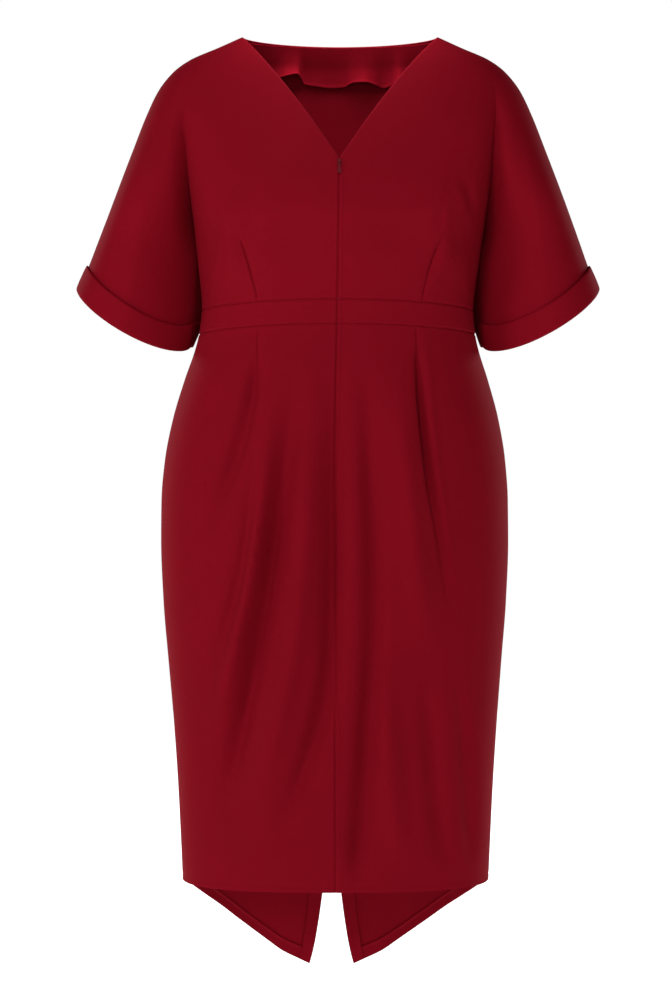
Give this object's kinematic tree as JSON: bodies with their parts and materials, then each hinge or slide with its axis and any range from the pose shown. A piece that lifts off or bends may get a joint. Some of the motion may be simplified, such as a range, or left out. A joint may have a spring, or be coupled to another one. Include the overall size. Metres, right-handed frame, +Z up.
{
  "type": "sheath dress with cut-on sleeves and a dipping split back hem",
  "caption": "Hollow fitted knee-length dress with a V neck, grown-on short sleeves with turned-back cuffs, a waistband, front zip and a longer split back hem.",
  "frame": {"origin": "midway between the two shoulder neck points, where the wearer's shoulders carry the dress", "axes": "+Z up along the wearer, the front faces -Y, +X towards the wearer's left sleeve"},
  "size_m": [0.6646, 0.2872, 1.1958],
  "materials": {
    "crepe": "matt woven stretch crepe, dark wine red",
    "zip_tape": "matt woven tape, wine red",
    "slider_metal": "smooth lacquered metal, dull red"
  },
  "bodies": {
    "dress": {"bodice_front_left": "crepe", "bodice_front_right": "crepe", "bodice_back": "crepe", "waistband_front_left": "crepe", "waistband_front_right": "crepe", "waistband_back": "crepe", "skirt_front_left": "crepe", "skirt_front_right": "crepe", "skirt_back_left": "crepe", "skirt_back_right": "crepe", "cuff_left": "crepe", "cuff_right": "crepe", "back_neck_facing": "crepe", "tail_hem_left": "crepe", "tail_hem_right": "crepe", "split_facing_left": "crepe", "split_facing_right": "crepe", "zip_tape_left": "zip_tape", "zip_tape_right": "zip_tape", "zip_slider": "slider_metal"},
    "pull_tab": {"zip_pull_tab": "slider_metal"}
  },
  "joints": [
    {"name": "pull_tab_hinge", "type": "hinge", "parent": "dress", "child": "pull_tab", "pos_m": [-0.001, -0.11783, -0.17345], "axis": [-1, 0, 0], "range_deg": [0, 150]}
  ]
}
